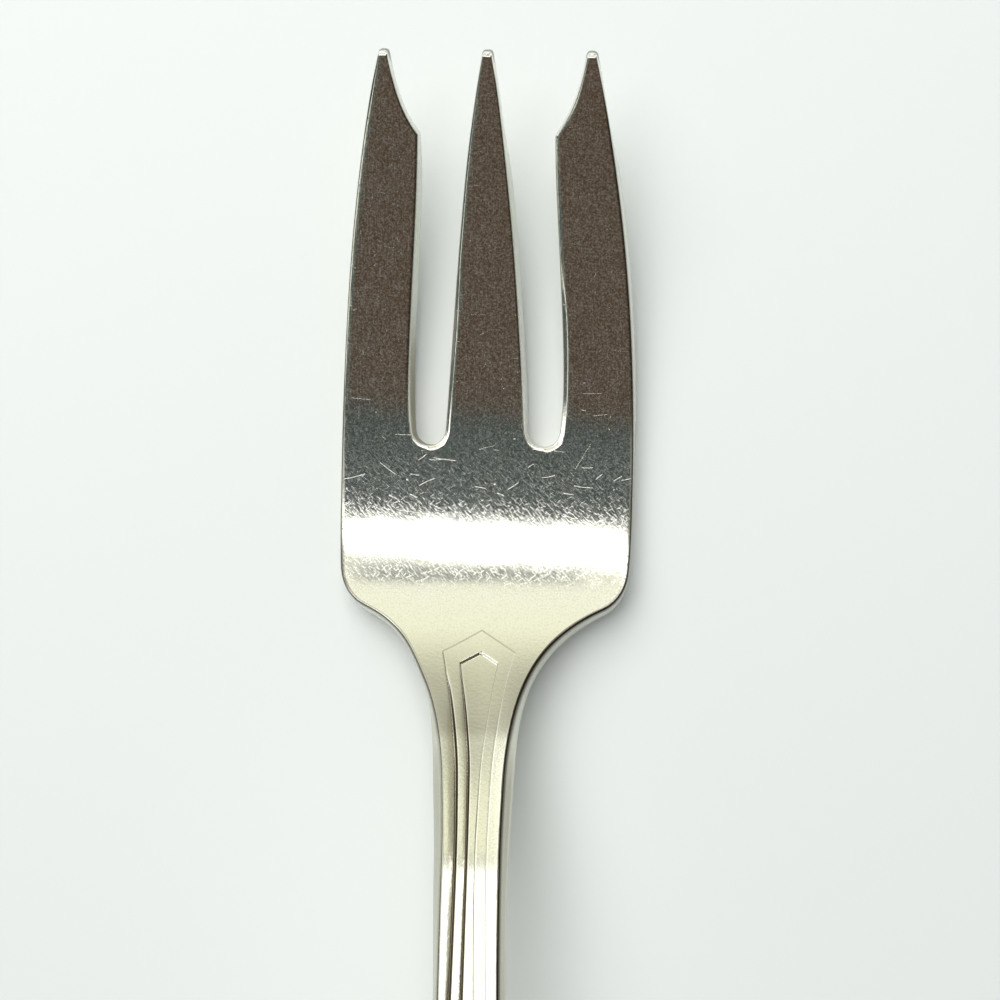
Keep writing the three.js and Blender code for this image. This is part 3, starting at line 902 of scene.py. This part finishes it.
roughness = (
    0.05 + in_relief * 0.09 + mottled * 0.05 + fine * 0.08 + deep.math("MINIMUM", 1) * 0.2 + wall * 0.3
)
coat.links.new(roughness.socket, shader.inputs["Roughness"])


def bumped(height, depth, under=None):
    """Raises the surface by this depth, in metres, where the height is one."""
    node = coat.nodes.new("ShaderNodeBump")
    node.inputs["Distance"].default_value = depth
    coat.links.new(height.socket, node.inputs["Height"])
    if under:
        coat.links.new(under.outputs[0], node.inputs["Normal"])
    return node


swell_depth, hammer_depth, stroke_depth, cut_depth = 0.012 * mm, 0.004 * mm, 0.0006 * mm, 0.002 * mm
swell = bumped(wavy, swell_depth)
hammered = bumped(mottled * (0.25 + in_relief), hammer_depth, swell)
brushed = bumped(fine, -stroke_depth, hammered)
cut = bumped(deep, -cut_depth, brushed)
coat.links.new(cut.outputs[0], shader.inputs["Normal"])

pressed = placed("pressed", blank)
forming = pressed.modifiers.new("press", "NODES")
forming.node_group = press
inputs = {item.name: item.identifier for item in press.interface.items_tree if item.in_out == "INPUT"}
forming[inputs["Die"]] = die
forming[inputs["Metal"]] = plating
for name, value in press_sizes.items():
    forming[inputs[name]] = value
shape = bpy.data.meshes.new_from_object(pressed.evaluated_get(bpy.context.evaluated_depsgraph_get()))
shape.name = "plated_fork"
shape.shade_smooth()
fork = placed("plated_fork", shape)
for helper in (pressed, die):
    bpy.data.objects.remove(helper)
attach(fork, "root")
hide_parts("fork")

# The sheet that the fork lies on: one plain pale board, far wider than the camera sees


def flat_panel(name, corners, height):
    """A new flat level panel, from its corners and its height."""
    mesh = bpy.data.meshes.new(name)
    mesh.from_pydata([(x, y, height) for x, y in corners], [], [(0, 1, 2, 3)])
    return placed(name, mesh)


def plain_material(name, colour):
    """A new matt material of one colour."""
    material = bpy.data.materials.new(name)
    material.use_nodes = True
    material.node_tree.nodes["Principled BSDF"].inputs["Base Color"].default_value = (*colour, 1)
    return material


half_sheet = 1500 * mm
sheet_corners = [(x * half_sheet, y * half_sheet) for x, y in ((-1, -1), (1, -1), (1, 1), (-1, 1))]
sheet = flat_panel("sheet", sheet_corners, 0)
sheet.data.materials.append(plain_material("paper", (0.77, 0.8, 0.785)))

# The room. Matt things are lit by plain white from all round. What the plate mirrors is a room with a
# window strip, warm walls and a brown ceiling, given by the angles from overhead towards the tips of the
# tines and towards the right.
room = bpy.data.worlds.new("room")
room.use_nodes = True
walls = room.node_tree
overhead = apart(Reading(walls, walls.nodes.new("ShaderNodeTexCoord").outputs["Generated"]))
to_tips = overhead[1].math("ARCTAN2", overhead[2]) * (180 / pi)
to_right = overhead[0].math("ARCTAN2", overhead[2]) * (180 / pi)


def pane(under, colour, tips, sides, soft, slant):
    """A patch of the room of one colour, between two angles each way, in degrees. Its edges blur by the
    softness, and the slant turns the edges that run across."""
    share = 1
    for angle, (low, high) in ((to_tips + to_right * slant, tips), (to_right, sides)):
        share = angle.eased(low - soft, low + soft) * (1 - angle.eased(high - soft, high + soft)) * share
    return painted(walls, under, (*colour, 1), share)


seen = (0.6, 0.6, 0.52, 1)
for colour, tips, sides, soft, slant in (
    ((1, 1, 0.82), (13, 36), (-70, 70), 3, 0.12),  # pale ceiling, which the shoulders mirror
    ((0.07, 0.045, 0.026), (-52, -5), (-19, 60), 1.5, 0.12),  # brown ceiling, which the tines mirror
    ((0.075, 0.09, 0.08), (-52, -5), (-50, -13), 2, 0.12),  # its grey left part
    ((0.45, 0.43, 0.32), (-5, 75), (8, 70), 4, 0.12),  # dull wall on the right
    ((0.06, 0.045, 0.035), (-60, 75), (24, 70), 4, 0.12),  # its dark foot
    ((1.4, 1.4, 1.35), (8, 75), (-70, -24), 4, 0.12),  # bright wall on the left
    ((1.8, 1.8, 1.7), (-7, 12), (-38, -20), 2, 0),  # pane on the left, which the panel's edge mirrors
    ((1, 1, 0.85), (-35, -5), (-26, -22), 0.8, 0),  # slit on the left, which the tines' bevels mirror
    ((1.4, 1.4, 1.35), (54, 150), (-60, 60), 4, 0.12),  # bright wall past the tips, which the neck mirrors
    ((0.2, 0.19, 0.15), (-60, 75), (-72, -50), 3, 0.12),  # dull foot of the left wall
    ((3.6, 3.6, 3.5), (6.9, 13.5), (-36, 18), 1.2, -0.22),  # window strip, the palm's white band
    ((0.3, 0.31, 0.29), (13.7, 17.5), (-9.5, -1.5), 1, 0.12),  # grey patch beside the strip
):
    seen = pane(seen, colour, tips, sides, soft, slant)
light_path = walls.nodes.new("ShaderNodeLightPath")
to_camera = Reading(walls, light_path.outputs["Is Camera Ray"])
mirrored = Reading(walls, light_path.outputs["Is Glossy Ray"])
shown = painted(walls, (0.38, 0.39, 0.39, 1), (1, 1, 1, 1), to_camera)
shown = painted(walls, shown, seen, mirrored)
walls.links.new(shown.socket, walls.nodes["Background"].inputs["Color"])
bpy.context.scene.world = room

# Key lamp, a soft window from the upper left
window = bpy.data.lights.new("window", "AREA")
window.size = 0.5
window.energy = 3.2
window.color = (1, 0.99, 0.97)
key = placed("window", window)
key.location = (-0.14, 0.32, 0.42)
key.rotation_euler = (Vector(key.location) - Vector((0, 0.03, 0))).to_track_quat("Z", "Y").to_euler()
key.visible_glossy = False


def reflected(name, corners, height, material_name, colour, strength):
    """A glowing panel that only the fork's mirror sees."""
    panel = flat_panel(name, corners, height)
    panel.visible_camera = panel.visible_diffuse = panel.visible_shadow = False
    material = plain_material(material_name, (0, 0, 0))
    inputs = material.node_tree.nodes["Principled BSDF"].inputs
    inputs["Specular IOR Level"].default_value = 0
    inputs["Emission Color"].default_value = (*colour, 1)
    inputs["Emission Strength"].default_value = strength
    panel.data.materials.append(material)
    return panel


# The dark board round the camera, which the palm of the fork mirrors
board_corners = [(-0.04, 0.034), (0.025, 0.0375), (0.025, 0.056), (-0.04, 0.056)]
board = reflected("board", board_corners, 0.112, "dark_board", (0.048, 0.063, 0.059), 1)

# The white card over the neck, which the reeds and the handle mirror
card_corners = [(-0.02, -0.012), (0.0045, -0.012), (0.0045, 0.031), (-0.02, 0.031)]
card = reflected("card", card_corners, 0.03, "white_card", (1, 1, 1), 1.6)

# Camera
turned_by = radians(1.2)
aim_from = Vector((0.93 * mm, tip_y - 26 * mm, 2.5 * mm))
eye_aside, aim_aside, eye_height = 8 * mm, 4 * mm, 109.5 * mm
right = Vector((cos(turned_by), sin(turned_by), 0))
eye = aim_from + right * eye_aside + Vector((0, 0, eye_height))
aim = aim_from + right * aim_aside
lens = bpy.data.cameras.new("camera")
lens.sensor_width = 36
lens.lens = 64.6
lens.clip_start = 0.01
lens.shift_x = -0.0656
camera = placed("camera", lens)
camera.location = eye
back_axis = (eye - aim).normalized()
up = Vector((-sin(turned_by), cos(turned_by), 0))
side_axis = up.cross(back_axis).normalized()
up_axis = back_axis.cross(side_axis)
camera.rotation_euler = Matrix((side_axis, up_axis, back_axis)).transposed().to_euler()
bpy.context.scene.camera = camera
bpy.context.scene.view_settings.view_transform = "Standard"
